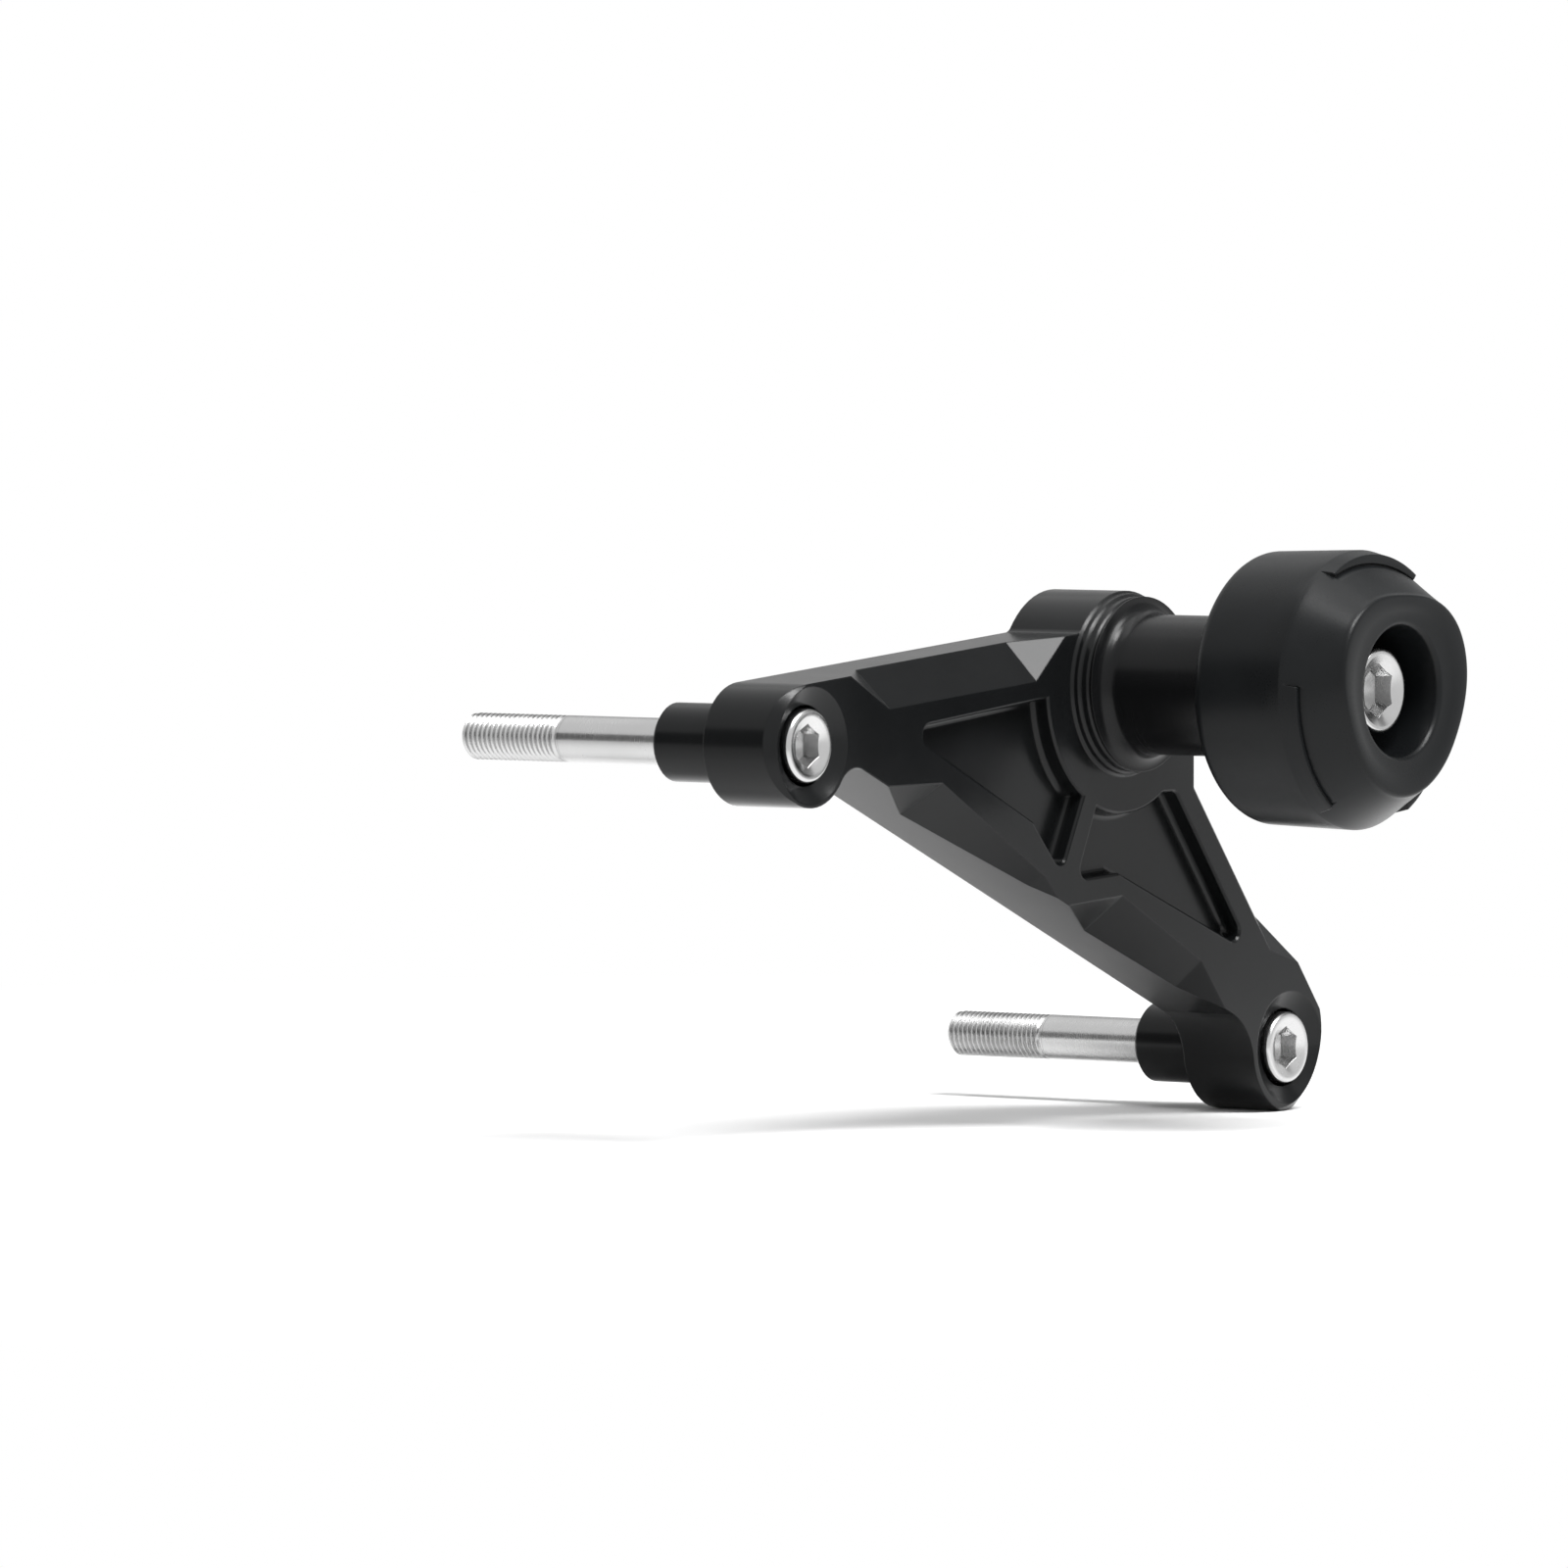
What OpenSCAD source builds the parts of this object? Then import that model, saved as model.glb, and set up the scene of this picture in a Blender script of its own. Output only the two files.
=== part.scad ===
// Frame slider, right-hand unit: machined bracket, post, puck and three cap screws
// millimetres, +Z up, puck toward -Y, screw tips toward +Y
// origin on the front screw axis, at the inboard end of the front sleeve

/* [Bracket layout] */
// Distance from the front screw to the lower screw along X
lower_x = 174.6; // [172:0.5:178]
// Height of the lower screw against the front screw
lower_z = -71.8; // [-74:0.5:-70]
// Distance from the front screw to the post along X
post_x = 112.3; // [110:0.5:114]
// Height of the post axis against the front screw
post_z = 9.8; // [8:0.2:11]
// Length of the sleeves behind the plate
sleeve_len = 17.5; // [12:0.5:24]
// Thickness of the plate
plate_t = 18.8; // [18:0.2:21]

/* [Bosses and sleeves] */
// Radius of the pad and of the flange that sits on it
pad_r = 18.9; // [18.5:0.1:19.2]
// Radius of the front boss
front_boss_r = 13.1; // [12.8:0.1:13.6]
// Radius of the lower boss
lower_boss_r = 13.9; // [13.2:0.1:14.2]
// Radius of the post boss
post_boss_r = 20.1; // [19.6:0.1:20.6]
// Radius of the front sleeve
front_sleeve_r = 8.4; // [7.8:0.1:9]
// Radius of the lower sleeve
lower_sleeve_r = 8.8; // [7.8:0.1:9.4]
// Chamfer around the outer edge of the screw bosses
boss_chamfer = 3; // [2:0.1:3.2]
// Height of the raised pad under the post
pad_h = 4; // [3:0.1:5]

/* [Pockets and bevels] */
// Depth of the pockets on the outer side
outer_pocket_depth = 4.5; // [3:0.1:5]
// Depth of the pockets on the inboard side
back_pocket_depth = 8.5; // [5:0.1:8.8]
// Width of the upper bevel on the outer face
top_bevel_w = 8.5; // [7:0.1:9]
// Depth of the upper bevel
top_bevel_d = 6.5; // [5:0.1:7]
// Corner radius of the pockets
pocket_r = 2.2; // [1.5:0.1:2.6]

/* [Post] */
// Outer radius of the post
post_r = 15.1; // [13:0.1:15.6]
// Distance from the pad to the inner face of the puck
post_len = 34; // [28:0.5:44]
// Radius of the collar at the puck end
collar_r = 18.2; // [17.2:0.1:18.8]

/* [Puck] */
// Radius of the puck at its inner rim
puck_r_back = 29.3; // [28.8:0.1:29.6]
// Radius of the puck at the shoulder
puck_r = 29.9; // [29.7:0.1:30.4]
// Length of the round body from inner face to shoulder
puck_body_len = 23.6; // [20:0.2:28]
// Length of the stepped cone in front of the shoulder
puck_cone_len = 12.9; // [11:0.1:14]
// Radius of the three lobes of the front face
lobe_r = 25.4; // [24.5:0.1:26]
// Radius of the recess in the front face
recess_r = 13.9; // [12:0.1:14.6]

/* [Screws] */
// Thread diameter of the two mounting screws
m_screw_d = 10; // [8:1:10]
// Length of the two mounting screws under the head
m_screw_len = 80; // [70:5:95]
// Thread diameter of the puck screw
p_screw_d = 12; // [10:1:12]
// Room between a screw and its hole, on the radius
screw_gap = 0.3; // [0.2:0.05:0.5]
// Room between a screw head and its counterbore, on the radius
head_gap = 0.7; // [0.4:0.1:0.9]

/* [Hidden] */
$fn = 72;
eps = 0.01;
big = 400;

anodised = [0.10, 0.10, 0.11];
plastic = [0.13, 0.13, 0.14];
bright = [0.80, 0.80, 0.82];

// axes
front_at = [0, 0];
lower_at = [lower_x, lower_z];
post_at = [post_x, post_z];

// stations along Y
y_back = -sleeve_len;
y_face = y_back - plate_t;
y_pad = y_face - pad_h;
y_puck = y_pad - post_len;
y_shoulder = y_puck - puck_body_len;
y_front = y_shoulder - puck_cone_len;

// screw sizes in the usual proportions of socket head cap screws
function head_r(d) = 0.6 * d + 1.85;
function head_h(d) = d;
function key_w(d) = d < 9 ? 6 : d < 11 ? 8 : 10;
head_sink = 0.3;
m_seat = y_face + head_sink + head_h(m_screw_d);
head_round = 2.2;

// edges of the plate outline, each a line [normal, distance]
function unit(v) = v / norm(v);
function side(v) = [-v[1], v[0]];
top_slope = 0.0827;
top_n = unit([-top_slope, 1]);
top_d = front_boss_r;
bottom_slope = -0.4277;
bottom_n = unit([bottom_slope, -1]);
bottom_over = 0.7;
bottom_d = bottom_n * lower_at + bottom_over;
right_slope = -1.262;
right_n = unit([-right_slope, 1]);
right_d = right_n * lower_at + lower_boss_r;

function top_z(x, inset) = (top_d - inset - top_n[0] * x) / top_n[1];
function bottom_z(x) = (bottom_d - bottom_n[0] * x) / bottom_n[1];
function right_z(x, inset) = (right_d - inset - right_n[0] * x) / right_n[1];
function meet(n1, d1, n2, d2) =
    let (k = n1[0] * n2[1] - n1[1] * n2[0])
    [(d1 * n2[1] - d2 * n1[1]) / k, (n1[0] * d2 - n2[0] * d1) / k];

// places along Y: local z runs outward, local x and y are X and Z of the part
module outward(y, at = [0, 0]) {
    translate([at[0], y, at[1]]) rotate([90, 0, 0]) children();
}

// everything on the far side of the plane through three points
module beyond(a, b, c) {
    n = unit(cross(b - a, c - a));
    translate(a) rotate([0, acos(n[2]), atan2(n[1], n[0])])
        translate([-big / 2, -big / 2, 0]) cube([big, big, big / 2]);
}

// everything between two places along X, with a little over at both ends
stretch_over = 1;
module stretch(x1, x2) {
    translate([x1 - stretch_over, -big / 2, -big / 2])
        cube([x2 - x1 + 2 * stretch_over, big, big]);
}

// prism with rounded corners over a list of convex corner points
corner_steps = 8;
function corner_arc(p, a, b, r) =
    let (u = unit(a - p), v = unit(b - p), h = acos(u * v) / 2,
         mid = p + unit(u + v) * r / sin(h), w = p + u * r / tan(h) - mid,
         turn = 180 - 2 * h, way = sign(w[0] * (p - mid)[1] - w[1] * (p - mid)[0]))
    [for (k = [0 : corner_steps])
        let (t = way * turn * k / corner_steps)
        mid + [w[0] * cos(t) - w[1] * sin(t), w[0] * sin(t) + w[1] * cos(t)]];
module rounded_prism(pts, r, h) {
    n = len(pts);
    linear_extrude(h) polygon([
        for (i = [0 : n - 1]) each corner_arc(pts[i], pts[(i + n - 1) % n], pts[(i + 1) % n], r)
    ]);
}

// fill between a straight edge and a round boss
fill_bite = 0.04;
module corner_fill(n, d, at, r, f, way, h) {
    lift = d + f - n * at;
    reach = sqrt((r + f) * (r + f) - lift * lift);
    mid = at + n * lift + side(n) * way * reach;
    difference() {
        linear_extrude(h) polygon([mid - n * (f + 1), mid, at + (mid - at) * r / (r + f), at]);
        translate([mid[0], mid[1], -eps]) cylinder(r = f + fill_bite, h = h + 2 * eps);
    }
}

// round boss, its outer edge chamfered on the free side by a wider cone set off toward the plate
chamfer_off = 2.6;
module boss(at, r, free) {
    outward(y_back, at) intersection() {
        cylinder(r = r, h = plate_t);
        translate(concat(-free * (boss_chamfer + chamfer_off), 0))
            cylinder(r1 = r + chamfer_off + plate_t, r2 = r + chamfer_off, h = plate_t);
    }
}

// sleeve behind the plate with a chamfered end and a fillet at its foot
sleeve_chamfer = 1;
sleeve_fillet = 2.5;
module sleeve(at, r) {
    outward(0, at) {
        cylinder(r1 = r - sleeve_chamfer, r2 = r, h = sleeve_chamfer);
        translate([0, 0, sleeve_chamfer]) cylinder(r = r, h = sleeve_len - sleeve_chamfer + eps);
        translate([0, 0, sleeve_len - sleeve_fillet]) rotate_extrude() difference() {
            square([r + sleeve_fillet, sleeve_fillet + eps]);
            translate([r + sleeve_fillet, 0]) circle(r = sleeve_fillet);
        }
    }
}

// swelling on the right of the post boss
cheek_r = 18;
cheek_at = post_at + [3.2, -0.9];
cheek_fill = 5;
// fillets of the outline
top_fill = 3;
front_fill = 6.5;
lower_fill = 14;

module plate_blank() {
    outward(y_back) {
        linear_extrude(plate_t) polygon([
            front_at,
            front_at + top_n * front_boss_r,
            [post_x, top_z(post_x, 0)],
            post_at,
            meet(right_n, right_d, [0, 1], post_z - cheek_r / 2),
            lower_at + right_n * lower_boss_r,
            lower_at,
            meet(bottom_n, bottom_d, [1, 0], lower_x - lower_boss_r),
            meet(bottom_n, bottom_d, [1, 0], front_boss_r)
        ]);
        corner_fill(top_n, top_d, post_at, post_boss_r, top_fill, 1, plate_t);
        corner_fill(bottom_n, bottom_d, front_at, front_boss_r, front_fill, 1, plate_t);
        corner_fill(bottom_n, bottom_d, lower_at, lower_boss_r, lower_fill, -1, plate_t);
        corner_fill(right_n, right_d, cheek_at, cheek_r, cheek_fill, -1, plate_t);
    }
    boss(front_at, front_boss_r, unit(side(top_n) - side(bottom_n)));
    boss(lower_at, lower_boss_r, -unit(side(right_n) - side(bottom_n)));
    outward(y_back, post_at) cylinder(r = post_boss_r, h = plate_t);
    outward(y_back, cheek_at) cylinder(r = cheek_r, h = plate_t);
}

// raised pad under the post: a chamfered step, then the seat of the flange
pad_step_r = 0.6;
pad_step_h = 2.1;
pad_chamfer = 0.5;
module post_pad() {
    step_r = pad_r + pad_step_r;
    outward(y_face, post_at) {
        cylinder(r1 = post_boss_r, r2 = step_r, h = post_boss_r - step_r);
        cylinder(r = step_r, h = pad_step_h - pad_chamfer);
        translate([0, 0, pad_step_h - pad_chamfer])
            cylinder(r1 = step_r, r2 = step_r - pad_chamfer, h = pad_chamfer);
        cylinder(r = pad_r, h = pad_h - pad_chamfer);
        translate([0, 0, pad_h - pad_chamfer])
            cylinder(r1 = pad_r, r2 = pad_r - pad_chamfer, h = pad_chamfer);
    }
}

// upper bevel, with a run-out facet at each end
top_bevel_x = [13.7, 24, 27.5, 80, 77.7, 90.6];
module top_bevel() {
    y_deep = y_face + top_bevel_d;
    q1 = [top_bevel_x[0], y_face, top_z(top_bevel_x[0], 0)];
    q2 = [top_bevel_x[1], y_deep, top_z(top_bevel_x[1], 0)];
    q3 = [top_bevel_x[2], y_face, top_z(top_bevel_x[2], top_bevel_w)];
    p3 = [top_bevel_x[3], y_face, top_z(top_bevel_x[3], top_bevel_w)];
    p1 = [top_bevel_x[4], y_deep, top_z(top_bevel_x[4], 0)];
    p2 = [top_bevel_x[5], y_face, top_z(top_bevel_x[5], 0)];
    intersection() {
        stretch(top_bevel_x[0], top_bevel_x[5]);
        beyond(q3, p3, q2);
        beyond(q1, q3, q2);
        beyond(p1, p3, p2);
    }
}

// bevel on the lower edge: start, deep start, deep end, end, then two points of its upper edge
module lower_bevel(x, depth, up) {
    a = [x[0], y_face, bottom_z(x[0])];
    b = [x[1], y_face + depth[0], bottom_z(x[1])];
    c = [x[2], y_face + depth[1], bottom_z(x[2])];
    d = [x[3], y_face, bottom_z(x[3])];
    e = [up[0], y_face, up[1]];
    n = cross(c - b, e - b);
    f = [up[2], y_face, e[2] - n[0] / n[2] * (up[2] - up[0])];
    intersection() {
        stretch(x[0], x[3]);
        beyond(b, c, e);
        beyond(a, b, e);
        beyond(c, d, f);
    }
}
front_bevel_x = [27, 42.5, 81, 88];
front_bevel_d = [8.5, 3];
front_bevel_up = [46.2, -9.4, 83];
rear_bevel_x = [92, 106.5, 138, 150];
rear_bevel_d = [6.5, 4.6];
rear_bevel_up = [111.7, -35.9, 141];

// bevel on the right edge
right_bevel_w = 6.4;
right_bevel_d = 5.9;
right_bevel_x = [138.1, 143, 169.5, 166.9, 177.6];
module right_bevel() {
    y_deep = y_face + right_bevel_d;
    a = [right_bevel_x[0], y_face, right_z(right_bevel_x[0], 0)];
    b = [right_bevel_x[0], y_face, right_z(right_bevel_x[0], right_bevel_w)];
    c = [right_bevel_x[1], y_deep, right_z(right_bevel_x[1], 0)];
    d = [right_bevel_x[2], y_deep, right_z(right_bevel_x[2], 0)];
    e = [right_bevel_x[3], y_face, right_z(right_bevel_x[3], right_bevel_w)];
    f = [right_bevel_x[4], y_face, right_z(right_bevel_x[4], 0)];
    intersection() {
        stretch(right_bevel_x[0], right_bevel_x[4]);
        beyond(b, d, c);
        beyond(a, b, c);
        beyond(e, f, d);
    }
}

// outer pockets: upright walls with a broken edge at the rim and a fillet at the foot
rim_break = 0.5;
foot_r = 1.6;
foot_steps = 4;
function grown(pts, g) =
    let (n = len(pts))
    [for (i = [0 : n - 1])
        let (p = pts[i], u = side(unit(p - pts[(i + n - 1) % n])), v = side(unit(pts[(i + 1) % n] - p)))
        meet(u, u * p - g, v, v * p - g)];
function rounded_outline(pts, r) =
    let (n = len(pts))
    [for (i = [0 : n - 1]) each corner_arc(pts[i], pts[(i + n - 1) % n], pts[(i + 1) % n], r)];
module filleted_pocket(pts, r, depth) {
    // growth of the outline against its height over the floor
    steps = concat(
        [for (k = [0 : foot_steps])
            let (t = 90 * k / foot_steps) [foot_r * (sin(t) - 1), foot_r * (1 - cos(t))]],
        [[0, depth - rim_break], [2 * rim_break, depth + rim_break]]);
    rings = [for (s = steps)
        [for (q = rounded_outline(grown(pts, s[0]), r + s[0])) [q[0], q[1], s[1]]]];
    m = len(rings[0]);
    last = len(steps) - 1;
    outward(y_face + depth) polyhedron(
        points = [for (ring = rings) each ring],
        faces = concat(
            [[for (i = [0 : m - 1]) i]],
            [[for (i = [m - 1 : -1 : 0]) last * m + i]],
            [for (k = [0 : last - 1]) for (i = [0 : m - 1])
                [k * m + i, (k + 1) * m + i, (k + 1) * m + (i + 1) % m, k * m + (i + 1) % m]]));
}

// ring left standing around the post boss, with the same edge and foot
post_ring_r = 28.1;
module post_ring(depth) {
    outward(y_face + depth, post_at) {
        cylinder(r = post_ring_r, h = depth - rim_break);
        translate([0, 0, depth - rim_break])
            cylinder(r1 = post_ring_r, r2 = post_ring_r - 2 * rim_break, h = 2 * rim_break);
        rotate_extrude() difference() {
            square([post_ring_r + foot_r, foot_r]);
            translate([post_ring_r + foot_r, foot_r]) circle(r = foot_r);
        }
    }
}

// corners of the outer pockets, each made of two convex parts
front_pocket = [
    [[33.6, 2.3], [86, -21.9], [99.7, -9], [98, 8.8]],
    [[78.6, -18.2], [89.3, -29.8], [99.7, -9], [88, -6]]];
lower_pocket = [
    [[95.2, -31.9], [113.4, -30.8], [120, -14.2], [103.4, -14.2]],
    [[109, -30.4], [159.9, -50.2], [131.6, -14.2], [103.4, -14.2]]];
module outer_pockets() {
    difference() {
        for (pts = concat(front_pocket, lower_pocket))
            filleted_pocket(pts, pocket_r, outer_pocket_depth);
        post_ring(outer_pocket_depth);
    }
}

module bracket_solid() {
    difference() {
        plate_blank();
        top_bevel();
        lower_bevel(front_bevel_x, front_bevel_d, front_bevel_up);
        lower_bevel(rear_bevel_x, rear_bevel_d, rear_bevel_up);
        right_bevel();
    }
}

// inboard pockets with upright walls and round corners, kept clear of the three bosses
back_front_pocket = [[79.8, -26.6], [58.6, 13.2], [20, 9.2], [20, 0.1]];
back_upper_pocket = [[89.6, -24.4], [103.5, 0], [100, 15.6], [66.8, 12.9]];
back_middle_pocket = [[103, -26.5], [139.5, -20.8], [146.5, -19.6], [137, -7], [104, -2]];
back_lower_pocket = [[94.5, -32.9], [142.3, -53.2], [163.6, -44.2], [150.4, -24.9]];
front_boss_wall = 4;
lower_boss_wall = 3;
back_ring_r = 16.6;
module boss_wall(at, r) {
    outward(y_back + 2 * eps, at) cylinder(r = r, h = back_pocket_depth + 3 * eps);
}
module back_pockets() {
    difference() {
        for (pts = [back_front_pocket, back_upper_pocket, back_middle_pocket, back_lower_pocket])
            outward(y_back + eps) rounded_prism(pts, pocket_r, back_pocket_depth + eps);
        boss_wall(front_at, front_boss_r + front_boss_wall);
        boss_wall(lower_at, lower_boss_r + lower_boss_wall);
        boss_wall(post_at, back_ring_r);
    }
}

// screw hole with counterbore and a shallow dish around the head
dish_r = 12.4;
dish_d = 2;
hole_chamfer = 0.6;
module screw_hole(at) {
    hole_r = m_screw_d / 2 + screw_gap;
    cb_r = head_r(m_screw_d) + head_gap;
    outward(eps, at) cylinder(r = hole_r, h = sleeve_len + plate_t);
    outward(eps, at) cylinder(r1 = hole_r + hole_chamfer, r2 = hole_r, h = hole_chamfer);
    outward(m_seat, at) cylinder(r = cb_r, h = plate_t);
    rise = (dish_r * dish_r - cb_r * cb_r - dish_d * dish_d) / (2 * dish_d);
    outward(y_face - rise, at) sphere(r = norm([dish_r, rise]), $fn = 144);
}

// hole for the puck screw, open to the inboard side
post_hole_chamfer = 2;
module post_hole() {
    hole_r = p_screw_d / 2 + screw_gap;
    outward(y_back + eps, post_at) cylinder(r = hole_r, h = plate_t + pad_h + 2 * eps);
    outward(y_back + eps, post_at)
        cylinder(r1 = hole_r + post_hole_chamfer, r2 = hole_r, h = post_hole_chamfer);
}

module bracket() {
    color(anodised)
    difference() {
        union() {
            bracket_solid();
            post_pad();
            sleeve(front_at, front_sleeve_r);
            sleeve(lower_at, lower_sleeve_r);
        }
        outer_pockets();
        back_pockets();
        screw_hole(front_at);
        screw_hole(lower_at);
        post_hole();
    }
}

// turned post: base flange, concave fillet, tube, flared collar
flange_t = 0.9;
flange_chamfer = 0.5;
post_fillet = 3.6;
collar_t = 3;
collar_seat = 2;
module slider_post() {
    y_end = y_puck - collar_seat;
    post_l = y_pad - y_end;
    color(anodised)
    outward(y_pad, post_at) difference() {
        union() {
            cylinder(r1 = pad_r - flange_chamfer, r2 = pad_r, h = flange_chamfer);
            translate([0, 0, flange_chamfer]) cylinder(r = pad_r, h = flange_t - flange_chamfer);
            cylinder(r = post_r, h = post_l);
            translate([0, 0, flange_t]) rotate_extrude() difference() {
                square([min(pad_r, post_r + post_fillet), post_fillet]);
                translate([post_r + post_fillet, post_fillet]) circle(r = post_fillet);
                translate([post_r + post_fillet, 0]) square([post_fillet, post_fillet]);
            }
            translate([0, 0, post_l - collar_t]) cylinder(r = collar_r, h = collar_t);
            translate([0, 0, post_l - collar_t - (collar_r - post_r)])
                cylinder(r1 = post_r, r2 = collar_r, h = collar_r - post_r);
        }
        translate([0, 0, -eps]) cylinder(r = p_screw_d / 2 + screw_gap, h = post_l + 2 * eps);
    }
}

// puck with rounded inner rim, lips, three-lobed cone and recess
rim_round = 4.5;
insert_r = 20.8;
insert_h = 9;
fit_gap = 0.1;
lip_turn = 2;
lip_half = 31;
lip_h = 5.6;
lip_taper = 0.4;
flat_r = 21.8;
flat_curve_r = 38;
flat_slope = 0.78;
recess_chamfer = 0.7;
head_inset = 5.6;
head_seat = y_front + head_inset + head_h(p_screw_d);
module lip() {
    a = lip_half;
    intersection() {
        cylinder(r1 = puck_r, r2 = puck_r - lip_taper, h = lip_h);
        linear_extrude(lip_h) polygon([[0, 0], big / 4 * [-sin(a), cos(a)], big / 4 * [sin(a), cos(a)]]);
    }
}
flat_start = 5;
module flat_side() {
    grow = puck_cone_len * flat_slope;
    over = 1;
    difference() {
        translate([-puck_r, flat_r - flat_start, 0])
            cube([2 * puck_r, puck_r, puck_cone_len + over / 2]);
        translate([0, flat_r - flat_curve_r, -over])
            cylinder(r1 = flat_curve_r + grow + over * flat_slope, r2 = flat_curve_r - over * flat_slope,
                h = puck_cone_len + 2 * over);
    }
}
module puck() {
    h = puck_body_len;
    color(plastic)
    outward(y_puck, post_at) difference() {
        union() {
            difference() {
                cylinder(r1 = puck_r_back, r2 = puck_r, h = h);
                rotate_extrude() difference() {
                    translate([puck_r_back - rim_round, -eps]) square([rim_round + 1, rim_round + eps]);
                    translate([puck_r_back - rim_round, rim_round]) circle(r = rim_round);
                }
            }
            translate([0, 0, h - eps]) difference() {
                cylinder(r1 = puck_r, r2 = lobe_r, h = puck_cone_len);
                for (i = [0 : 2]) rotate(-lip_turn + 120 * i) flat_side();
            }
            translate([0, 0, h - 2 * eps]) for (i = [0 : 2]) rotate(-lip_turn + 120 * i) lip();
        }
        translate([0, 0, y_puck - head_seat]) cylinder(r = recess_r, h = big / 4);
        translate([0, 0, h + puck_cone_len - recess_chamfer])
            cylinder(r1 = recess_r, r2 = recess_r + recess_chamfer, h = recess_chamfer + eps);
        translate([0, 0, -eps]) cylinder(r = p_screw_d / 2 + screw_gap, h = big / 4);
        translate([0, 0, -eps]) cylinder(r = insert_r + fit_gap, h = insert_h + fit_gap + eps);
    }
}
// metal cup in the inner face of the puck, seats the collar of the post
module puck_insert() {
    color(bright)
    outward(y_puck, post_at) difference() {
        cylinder(r = insert_r, h = insert_h);
        translate([0, 0, -eps]) cylinder(r = collar_r + 0.3, h = collar_seat + eps);
        translate([0, 0, -eps]) cylinder(r = p_screw_d / 2 + screw_gap, h = insert_h + 2 * eps);
    }
}

// socket head cap screw: underside of the head at local zero, tip at the far end,
// its neck slimmer than the part of the shank that stands free
neck_relief = 0.2;
key_depth_share = 0.5;
tip_chamfer_share = 0.11;
module cap_screw(d, len, y_under, at, neck_len) {
    r = head_r(d);
    h = head_h(d);
    f = head_round;
    tip = d * tip_chamfer_share;
    outward(y_under, at) difference() {
        union() {
            cylinder(r = r, h = h - f);
            cylinder(r = r - f, h = h);
            translate([0, 0, h - f]) rotate_extrude() translate([r - f, 0]) circle(r = f);
            translate([0, 0, -neck_len]) cylinder(r = d / 2 - neck_relief, h = neck_len + eps);
            translate([0, 0, -len + tip]) cylinder(r = d / 2, h = len - neck_len - tip);
            translate([0, 0, -len]) cylinder(r1 = d / 2 - tip, r2 = d / 2, h = tip);
        }
        translate([0, 0, h * (1 - key_depth_share)])
            rotate(90) cylinder(d = key_w(d) / cos(30), h = h, $fn = 6);
    }
}
p_screw_len = 70;
module puck_bolt() {
    color(bright) cap_screw(p_screw_d, p_screw_len, head_seat, post_at, y_pad - head_seat);
}
module front_bolt() {
    color(bright) cap_screw(m_screw_d, m_screw_len, m_seat, front_at, -m_seat);
}
module lower_bolt() {
    color(bright) cap_screw(m_screw_d, m_screw_len, m_seat, lower_at, -m_seat);
}

bracket();
slider_post();
puck();
puck_insert();
puck_bolt();
front_bolt();
lower_bolt();
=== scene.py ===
import math
import bmesh
import bpy
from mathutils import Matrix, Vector


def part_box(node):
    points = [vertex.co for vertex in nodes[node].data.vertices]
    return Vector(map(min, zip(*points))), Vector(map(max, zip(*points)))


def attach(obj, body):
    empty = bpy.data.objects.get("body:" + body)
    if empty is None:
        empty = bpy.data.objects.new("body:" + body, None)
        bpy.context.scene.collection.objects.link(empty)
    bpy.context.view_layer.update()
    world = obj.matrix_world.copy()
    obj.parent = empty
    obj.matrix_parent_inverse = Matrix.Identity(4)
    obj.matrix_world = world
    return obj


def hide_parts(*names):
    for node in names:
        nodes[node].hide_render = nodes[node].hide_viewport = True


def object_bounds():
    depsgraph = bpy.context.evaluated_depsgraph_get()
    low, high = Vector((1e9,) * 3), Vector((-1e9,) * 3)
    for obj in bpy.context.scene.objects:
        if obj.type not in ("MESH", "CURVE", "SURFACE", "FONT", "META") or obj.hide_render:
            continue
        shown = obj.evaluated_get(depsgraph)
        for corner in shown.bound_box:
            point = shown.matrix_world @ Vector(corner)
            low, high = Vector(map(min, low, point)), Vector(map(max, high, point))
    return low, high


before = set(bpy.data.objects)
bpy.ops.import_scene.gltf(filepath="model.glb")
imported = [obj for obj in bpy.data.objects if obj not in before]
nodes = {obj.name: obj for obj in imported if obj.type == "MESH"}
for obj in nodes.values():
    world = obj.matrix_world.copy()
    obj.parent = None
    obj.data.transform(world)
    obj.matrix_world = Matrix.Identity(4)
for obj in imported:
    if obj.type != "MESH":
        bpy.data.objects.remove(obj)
cad_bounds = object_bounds()
S = bpy.context.scene
MM = 0.001
MERGE = 2e-6
TAU = 2 * math.pi


# node helpers

def new_mat(name):
    m = bpy.data.materials.new(name)
    m.use_nodes = True
    nt = m.node_tree
    return m, nt, nt.nodes["Principled BSDF"]


def add(nt, kind, **vals):
    n = nt.nodes.new(kind)
    for k, v in vals.items():
        if k in n.inputs:
            n.inputs[k].default_value = v
        else:
            setattr(n, k, v)
    return n


def remap(nt, source, lo, hi, lo_in=0.3, hi_in=0.7):
    n = add(nt, "ShaderNodeMapRange", **{"From Min": lo_in, "From Max": hi_in, "To Min": lo, "To Max": hi})
    nt.links.new(source, n.inputs["Value"])
    return n.outputs["Result"]


def noise(nt, co, scale, detail=4.0, rough=0.55, stretch=(1, 1, 1)):
    mp = add(nt, "ShaderNodeMapping", Scale=stretch)
    n = add(nt, "ShaderNodeTexNoise", Scale=scale, Detail=detail, Roughness=rough)
    nt.links.new(co, mp.inputs["Vector"])
    nt.links.new(mp.outputs["Vector"], n.inputs["Vector"])
    return n.outputs["Fac"]


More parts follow.
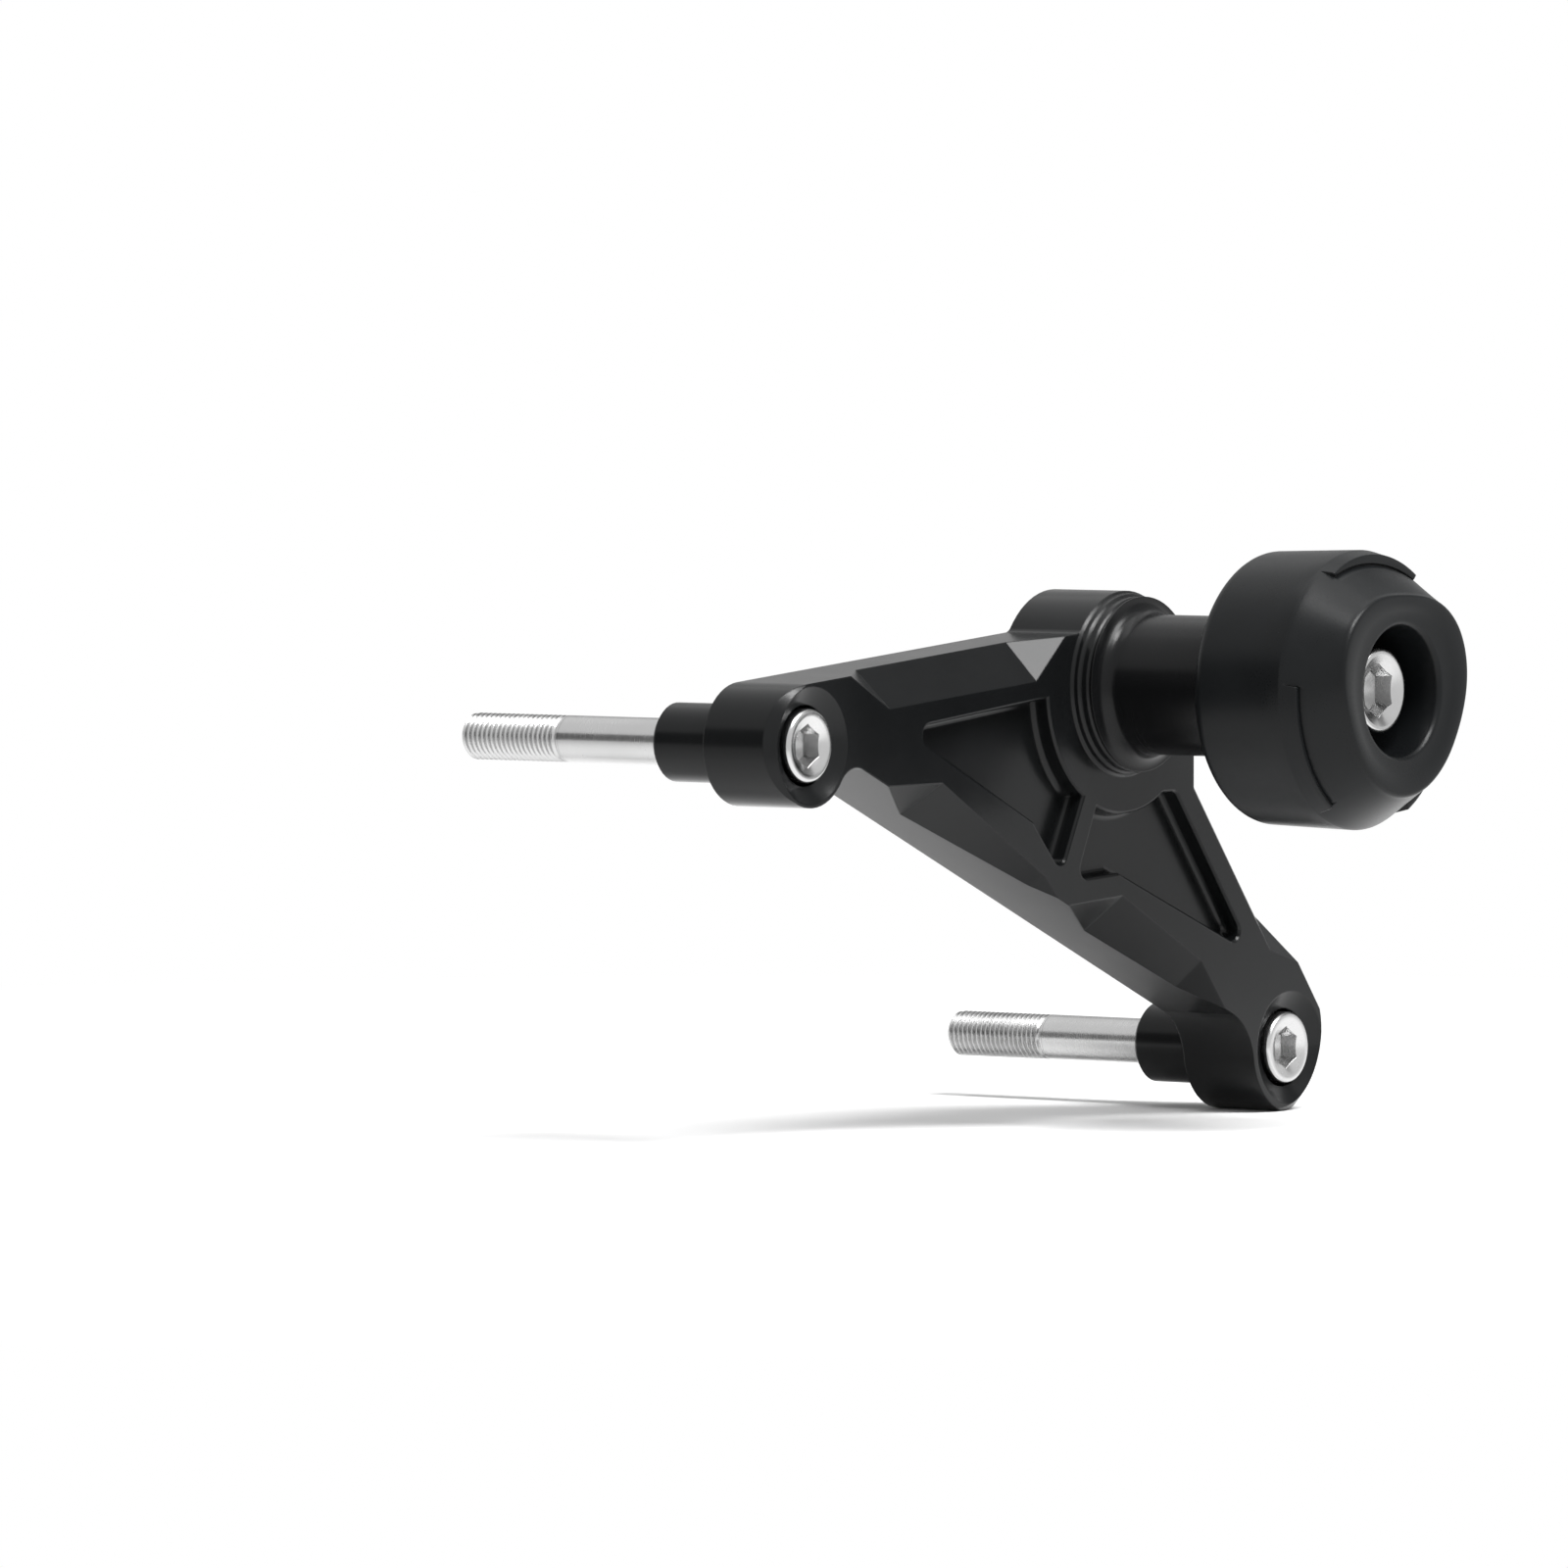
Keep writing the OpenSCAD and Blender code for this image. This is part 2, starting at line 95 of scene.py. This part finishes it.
def finish(name, color, metal, rough, spec, grain_scale, grain_h, edge=0.0, stretch=(1, 1, 1),
           cloud=0.15, cloud_scale=40.0, rough_var=0.2):
    """Finish with a fine grain in the normal, slow clouds in colour and roughness, softened edges."""
    m, nt, b = new_mat(name)
    L = nt.links.new
    co = add(nt, "ShaderNodeTexCoord").outputs["Object"]
    fine = noise(nt, co, grain_scale, 3.0, 0.6, stretch)
    slow = noise(nt, co, cloud_scale, 5.0, 0.6)
    tint = add(nt, "ShaderNodeVectorMath", operation="SCALE")
    tint.inputs[0].default_value = color
    L(remap(nt, slow, 1 - cloud, 1 + cloud), tint.inputs["Scale"])
    L(tint.outputs["Vector"], b.inputs["Base Color"])
    both = add(nt, "ShaderNodeMath", operation="ADD")
    L(remap(nt, fine, -rough_var / 2, rough_var / 2), both.inputs[0])
    L(remap(nt, slow, 1 - rough_var / 2, 1 + rough_var / 2), both.inputs[1])
    rr = add(nt, "ShaderNodeMath", operation="MULTIPLY")
    rr.inputs[1].default_value = rough
    L(both.outputs[0], rr.inputs[0])
    L(rr.outputs[0], b.inputs["Roughness"])
    bump = add(nt, "ShaderNodeBump", Strength=1.0, Distance=grain_h * MM)
    L(fine, bump.inputs["Height"])
    if edge:
        bev = add(nt, "ShaderNodeBevel", Radius=edge * MM, samples=6)
        L(bev.outputs["Normal"], bump.inputs["Normal"])
    L(bump.outputs["Normal"], b.inputs["Normal"])
    b.inputs["Metallic"].default_value = metal
    b.inputs["Specular IOR Level"].default_value = spec
    return m


anodised = finish("anodised", (0.0044, 0.0048, 0.0051), 0.0, 0.22, 0.20, 5200.0, 0.003, edge=0.45)
turned_black = finish("turned_black", (0.0040, 0.0042, 0.0045), 0.0, 0.25, 0.17, 900.0, 0.003, edge=0.35,
                      stretch=(0.15, 4.0, 0.15))
plastic = finish("plastic", (0.0050, 0.0056, 0.0061), 0.0, 0.31, 0.15, 2600.0, 0.008, edge=0.5, cloud=0.2)
steel = finish("screw_steel", (0.50, 0.50, 0.50), 1.0, 0.24, 0.5, 1500.0, 0.002, stretch=(0.3, 3.0, 0.3),
               cloud=0.06, rough_var=0.4)
insert = finish("insert_metal", (0.66, 0.67, 0.68), 1.0, 0.24, 0.5, 1800.0, 0.003, edge=0.2,
                stretch=(0.3, 3.0, 0.3), cloud=0.06, rough_var=0.4)


def paint(node, mat):
    ob = nodes[node]
    if not ob.material_slots:
        ob.data.materials.append(mat)
    for sl in ob.material_slots:
        sl.material = mat


for node, mat in (("bracket", anodised), ("slider_post", turned_black), ("puck", plastic), ("puck_insert", insert)):
    paint(node, mat)


def build(name, verts, faces, mat, node, sharp):
    """Mesh from millimetre points that stands in for a CAD node."""
    me = bpy.data.meshes.new(name)
    me.from_pydata([tuple(c * MM for c in v) for v in verts], [], faces)
    bm = bmesh.new()
    bm.from_mesh(me)
    bmesh.ops.remove_doubles(bm, verts=bm.verts, dist=MERGE)
    bmesh.ops.dissolve_degenerate(bm, dist=1e-7, edges=bm.edges)
    bmesh.ops.recalc_face_normals(bm, faces=bm.faces)
    bm.to_mesh(me)
    bm.free()
    me.shade_smooth()
    me.set_sharp_from_angle(angle=math.radians(sharp))
    me.materials.append(mat)
    ob = bpy.data.objects.new(name, me)
    S.collection.objects.link(ob)
    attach(ob, "root")
    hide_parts(node)


# puck: turned body, cone with three flats, lips left standing on the shoulder

FLATS = (2, 122, 242)               # middles of the flats and lips, degrees clockwise from the top
# face radius at the middle of each flat and each lobe
RIMS = ((2, 20.1), (62, 24.1), (122, 21.6), (182, 22.3), (242, 21.3), (302, 24.0))


def soft_min(p, q, soft):
    return -soft * math.log(math.exp(-p / soft) + math.exp(-q / soft))


def puck_mesh(y_seat):
    """Outline from the back face over the rim, cone and face into the recess, turned round the axis."""
    lo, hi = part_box("puck")
    cx, cz = (lo[0] + hi[0]) / 2 / MM, (lo[2] + hi[2]) / 2 / MM
    y_back = hi[1] / MM
    face_inset = 0.8                # the face lies this far inside the CAD box
    body = 23.6                     # back face to shoulder
    back_r, full_r = 29.3, 29.9     # the body widens towards the shoulder
    rim_round = 3.0                 # rounding of the back edge
    top = y_back - (lo[1] / MM + face_inset)
    cone = top - body
    flat_in = 0.35                  # the flats start this far inside the shoulder
    lip_half = 31.0                 # half angle of a lip
    lip_mid, lip_rise = 3.5, 0.3    # height in the middle, and what one end gains and the other loses
    lip_lean = 0.85                 # radius that a lip loses up to its crest
    face_round = 0.8
    dish, mouth = 0.9, 1.3          # dish of the face, rounding of the recess mouth
    wall_r, bore_r = 13.9, 6.3      # recess wall and through hole
    cup_r, cup_h = 20.9, 9.1        # pocket of the metal cup
    n = 360

    def rim_r(a):
        for k, (at, r) in enumerate(RIMS):
            t = (a - at) % 360 / 60
            if t < 1:
                r1 = RIMS[(k + 1) % len(RIMS)][1]
                return r + (r1 - r) * (0.5 - 0.5 * math.cos(math.pi * t))

    def flatness(a):
        return max(0.0, math.cos(math.radians(3 * (a - FLATS[0])))) ** 0.8

    def cone_r(a, h):
        base = full_r - 0.05 - flat_in * flatness(a)
        straight = rim_r(a) + (base - rim_r(a)) * (1 - h / cone)
        return soft_min(straight, full_r - 0.1 - 0.02 * h, 0.12)

    def lip_h(a):
        for centre in FLATS:
            t = (a - centre + 180) % 360 - 180
            if abs(t) <= lip_half:
                return lip_mid + lip_rise * t / lip_half
        return 0.0

    def arc(r0, h0, rad, a0, a1, steps=8):
        turns = [math.radians(a0 + (a1 - a0) * k / steps) for k in range(steps + 1)]
        return [(r0 + rad * math.cos(t), h0 + rad * math.sin(t)) for t in turns]

    def column(a):
        pts = [(bore_r, cup_h), (cup_r, cup_h), (cup_r, 0.3), (cup_r + 0.3, 0.0)]
        pts += arc(back_r - rim_round, rim_round, rim_round, -90, 0)
        for k in range(1, 5):
            pts.append((back_r + (full_r - back_r) * k / 5, rim_round + (body - rim_round - 0.3) * k / 5))
        pts += [(full_r - 0.02, body - 0.3), (full_r - 0.05, body - 0.12)]

        # both branches add six points, so that the columns match
        lip = lip_h(a)
        if lip:
            edge = full_r - lip_lean
            foot = min(edge - 0.9, cone_r(a, lip))
            crest = body + lip
            pts += [(full_r - 0.15, body + 0.1), (edge, crest - 0.35), (edge - 0.1, crest - 0.1),
                    (edge - 0.35, crest), (foot + 0.3, crest - 0.15), (foot - 0.1, crest - 0.8)]
            start = lip + 0.4
        else:
            pts += [(cone_r(a, h), body + h) for h in (0.1, 0.2, 0.3, 0.4, 0.5, 0.6)]
            start = 0.6
        end = cone - face_round
        for k in range(1, 17):
            h = start + (end - start) * k / 16
            pts.append((cone_r(a, h), body + h))

        # rounded edge, then the dished face down to the recess mouth
        rim = cone_r(a, end)
        c20, s20 = math.cos(math.radians(20)), math.sin(math.radians(20))
        for k in range(1, 7):
            t = math.radians(20 + 70 * k / 6)
            pts.append((rim - 0.95 * (c20 - math.cos(t)),
                        body + end + face_round * (math.sin(t) - s20) / (1 - s20)))
        outer, inner = rim - 1.6, wall_r + mouth + 0.2
        for q in (0, 0.25, 0.5, 0.75):
            pts.append((outer + (inner - outer) * q, top - dish * (0.5 - 0.5 * math.cos(math.pi * q))))
        pts += arc(wall_r + mouth, top - dish - mouth, mouth, 90, 180)
        floor = y_back - y_seat
        pts += [(wall_r, floor + 0.4), (wall_r - 0.4, floor), (bore_r, floor)]
        return pts

    cols = [column(360 * i / n) for i in range(n)]
    m = len(cols[0])
    verts = []
    for i, col in enumerate(cols):
        t = TAU * i / n
        verts += [(cx + r * math.sin(t), y_back - h, cz + r * math.cos(t)) for r, h in col]
    faces = []
    for i in range(n):
        j = (i + 1) % n
        for k in range(m):
            l = (k + 1) % m
            faces.append((i * m + k, i * m + l, j * m + l, j * m + k))
    return verts, faces


def seat_of(node, head_h):
    """Level under the head, axis point and length under the head of a CAD screw."""
    lo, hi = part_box(node)
    y = lo[1] / MM + head_h
    return y, ((lo[0] + hi[0]) / 2 / MM, (lo[2] + hi[2]) / 2 / MM), hi[1] / MM - y


y_m, front_at, m_len = seat_of("front_bolt", 10.0)
_, lower_at, _ = seat_of("lower_bolt", 10.0)
y_p, post_at, p_len = seat_of("puck_bolt", 12.0)
Y_PAD = -40.3                       # outer face of the bracket's pad, where the puck screw's neck ends

verts, faces = puck_mesh(y_p)
build("puck_body", verts, faces, plastic, "puck", 34)


# screws: head with a hexagon socket, neck, plain shank, rolled thread

def thread_radius(phase, r, depth):
    """Radius over one pitch: narrow crest, flank, rounded root, flank."""
    x = abs((phase % 1.0) - 0.5) * 2
    return r - depth * min(max((x - 0.16) / 0.74, 0.0), 1.0)


def screw(name, node, centre, y_seat, d, pitch, length, thread, head_r, head_h, key, neck_len):
    n = 96
    r = d / 2
    rows = []

    def ring(radius, y):
        pts = []
        for i in range(n):
            a = TAU * i / n
            q = radius(a) if callable(radius) else radius
            h = y(a) if callable(y) else y
            pts.append((q * math.sin(a), h, q * math.cos(a)))
        rows.append(pts)

    apothem = key / 2
    mouth = key * 0.78              # radius of the countersink round the socket
    sink = 0.42                     # its depth per millimetre of radius
    turn = 0.9                      # rounding of the head's outer edge

    def hexagon(a):
        w = (a + math.pi / 6) % (math.pi / 3) - math.pi / 6
        return apothem / math.cos(math.pi / 6 - abs(w))

    depth = head_h * 0.5
    face = -head_h
    ring(0.3, face + depth + apothem * 0.45)
    ring(apothem * 0.93, face + depth + 0.12)
    ring(lambda a: hexagon(a) - 0.02, face + depth)
    ring(hexagon, face + depth - 0.06)
    ring(hexagon, lambda a: face + 0.12 + (mouth - hexagon(a)) * sink)
    ring(lambda a: hexagon(a) + 0.08, lambda a: face + (mouth - hexagon(a)) * sink)
    ring(mouth - 0.15, face + 0.07)
    ring(mouth + 0.12, face)
    turn_steps = 12
    for k in range(turn_steps + 1):
        t = math.pi / 2 * k / turn_steps
        ring(head_r - turn + turn * math.sin(t), face + turn - turn * math.cos(t))
    ring(head_r, -0.45)
    ring(head_r - 0.1, -0.15)
    ring(head_r - 0.4, 0.0)
    ring(r + 0.35, 0.0)
    ring(r - 0.02, 0.15)
    ring(r - 0.2, 0.5)
    ring(r - 0.2, neck_len - 0.1)
    ring(r, neck_len)
    start = length - thread
    ring(r, start - 0.05)
    n_plain = len(rows)
    verts = [p for row in rows for p in row]
    faces = []
    for k in range(n_plain - 1):
        for i in range(n):
            j = (i + 1) % n
            faces.append((k * n + i, (k + 1) * n + i, (k + 1) * n + j, k * n + j))
    faces.append(tuple(range(n - 1, -1, -1)))

    # thread as a sheared grid, so that each turn keeps its profile
    per = 10                        # rows to one pitch
    tip = d * 0.11                  # chamfer at the free end
    deep = pitch * 0.61
    runout = pitch * 1.6
    m0 = -per - 2
    m1 = int(thread / pitch * per) + 2
    base = len(verts)
    for k in range(m0, m1 + 1):
        for i in range(n):
            a = TAU * i / n
            y = start + pitch * (k / per + i / n)
            q = thread_radius(k / per, r, deep)
            y = min(max(y, start), length)
            fade = min(1.0, (y - start) / runout)
            q = r - (r - q) * fade
            limit = r - tip * 0.25 - (y - (length - tip)) - 0.05
            if y > length - tip * 1.3:
                q = min(q, max(limit + tip * 0.25, r - tip - 0.1))
            verts.append((q * math.sin(a), y, q * math.cos(a)))
    rows_t = m1 - m0 + 1
    for k in range(rows_t - 1):
        for i in range(n):
            j = (i + 1) % n
            shift = per if j == 0 else 0
            a0, a1 = k, k + 1
            b0, b1 = k + shift, k + 1 + shift
            if b1 >= rows_t:
                continue
            faces.append((base + a0 * n + i, base + a1 * n + i, base + b1 * n + j, base + b0 * n + j))
    # end face with a shallow dimple
    end = len(verts)
    for q, y in ((r - tip - 0.1, length), (r - tip - 0.7, length - 0.02), (0.4, length - 0.25)):
        for i in range(n):
            a = TAU * i / n
            verts.append((q * math.sin(a), y, q * math.cos(a)))
    for k in range(2):
        for i in range(n):
            j = (i + 1) % n
            faces.append((end + k * n + i, end + (k + 1) * n + i, end + (k + 1) * n + j, end + k * n + j))
    faces.append(tuple(end + 2 * n + i for i in range(n)))

    x0, z0 = centre
    build(name, [(x0 + x, y_seat + y, z0 + z) for x, y, z in verts], faces, steel, node, 32)


for name, node, at in (("front_screw", "front_bolt", front_at), ("lower_screw", "lower_bolt", lower_at)):
    screw(name, node, at, y_m, 9.98, 1.25, m_len, 26.5, 7.84, 10.0, 8.0, -y_m)
# the photo shows the puck screw's head lower than the CAD head
screw("puck_screw", "puck_bolt", post_at, y_p, 11.98, 1.75, p_len, 36.0, 9.04, 10.6, 10.0, Y_PAD - y_p)


# floor and backdrop
lo, hi = cad_bounds
FLOOR = lo[2]
MID = Vector(((lo[0] + hi[0]) / 2, (lo[1] + hi[1]) / 2, (lo[2] + hi[2]) / 2))


def plane(name, corners):
    me = bpy.data.meshes.new(name)
    me.from_pydata(corners, [], [(0, 1, 2, 3)])
    ob = bpy.data.objects.new(name, me)
    S.collection.objects.link(ob)
    return ob


floor = plane("floor", [(-6, -6, FLOOR), (6, -6, FLOOR), (6, 6, FLOOR), (-6, 6, FLOOR)])
fm, nt, b = new_mat("floor")
b.inputs["Base Color"].default_value = (0.93, 0.93, 0.93, 1)
b.inputs["Roughness"].default_value = 0.95
b.inputs["Specular IOR Level"].default_value = 0.0
co = add(nt, "ShaderNodeTexCoord").outputs["Object"]
dist = add(nt, "ShaderNodeVectorMath", operation="DISTANCE")
dist.inputs[1].default_value = (MID.x, MID.y, FLOOR)
nt.links.new(co, dist.inputs[0])
far = remap(nt, dist.outputs["Value"], 0.0, 1.0, 0.10, 0.60)
glow = add(nt, "ShaderNodeEmission", Strength=1.0)
mix = add(nt, "ShaderNodeMixShader")
clear = add(nt, "ShaderNodeBsdfTransparent")
side = add(nt, "ShaderNodeNewGeometry").outputs["Backfacing"]
mix2 = add(nt, "ShaderNodeMixShader")
out = nt.nodes["Material Output"]
nt.links.new(far, mix.inputs[0])
nt.links.new(b.outputs[0], mix.inputs[1])
nt.links.new(glow.outputs[0], mix.inputs[2])
nt.links.new(side, mix2.inputs[0])
nt.links.new(mix.outputs[0], mix2.inputs[1])
nt.links.new(clear.outputs[0], mix2.inputs[2])
nt.links.new(mix2.outputs[0], out.inputs["Surface"])
floor.data.materials.append(fm)

# world: white to the camera and in reflections, softer fill on diffuse surfaces
w = S.world or bpy.data.worlds.new("world")
S.world = w
w.use_nodes = True
nt = w.node_tree
bg = nt.nodes["Background"]
bg.inputs["Color"].default_value = (1, 1, 1, 1)
lp = add(nt, "ShaderNodeLightPath")
m1 = add(nt, "ShaderNodeMath", operation="MAXIMUM")
m2 = add(nt, "ShaderNodeMath", operation="MAXIMUM")
nt.links.new(lp.outputs["Is Camera Ray"], m1.inputs[0])
nt.links.new(lp.outputs["Is Glossy Ray"], m1.inputs[1])
nt.links.new(m1.outputs[0], m2.inputs[0])
nt.links.new(lp.outputs["Is Transmission Ray"], m2.inputs[1])
nt.links.new(remap(nt, m2.outputs[0], 0.45, 1.0, 0.0, 1.0), bg.inputs["Strength"])


def area(name, direction, dist, size, power, size_y=None):
    ld = bpy.data.lights.new(name, "AREA")
    ld.energy = power
    ld.size = size
    if size_y:
        ld.shape = "RECTANGLE"
        ld.size_y = size_y
    ob = bpy.data.objects.new(name, ld)
    S.collection.objects.link(ob)
    ob.location = MID + Vector(direction).normalized() * dist
    ob.rotation_euler = (MID - ob.location).to_track_quat("-Z", "Y").to_euler()


def card(name, direction, dist, wide, high, grey):
    """Grey card that only reflections see."""
    d = Vector(direction).normalized()
    c = MID + d * dist
    u = d.cross(Vector((0, 0, 1))).normalized()
    v = u.cross(d).normalized()
    ob = plane(name, [tuple(c + u * (sx * wide / 2) + v * (sy * high / 2))
                      for sx, sy in ((-1, -1), (1, -1), (1, 1), (-1, 1))])
    m, nt, b = new_mat(name)
    b.inputs["Base Color"].default_value = (grey, grey, grey, 1)
    b.inputs["Roughness"].default_value = 1.0
    b.inputs["Specular IOR Level"].default_value = 0.0
    ob.data.materials.append(m)
    ob.visible_camera = False
    ob.visible_shadow = False
    ob.visible_diffuse = False


area("key", (0.08, -0.65, 0.76), 1.3, 0.62, 15, 0.45)
area("cone", (-0.16, -0.42, 0.89), 1.3, 0.4, 14, 0.4)
area("top", (0.1, 0.1, 1.0), 1.6, 1.3, 6, 0.9)
card("back_card", (0.78, 0.60, 0.36), 1.8, 3.0, 0.9, 0.5)
card("over_card", (0.78, -0.27, 0.56), 1.7, 1.3, 0.9, 0.3)
card("left_card", (-0.80, 0.60, 0.16), 1.8, 1.6, 0.9, 0.16)

# camera
cam = bpy.data.objects.new("camera", bpy.data.cameras.new("camera"))
S.collection.objects.link(cam)
cam.location = (-2.4927, -1.9075, 0.1265)
cam.data.sensor_width = 36
cam.data.lens = 341.66
cam.data.clip_end = 50
cam.rotation_euler = Vector((0.7979, 0.6013, -0.0431)).to_track_quat("-Z", "Y").to_euler()
S.camera = cam
S.view_settings.view_transform = "Standard"
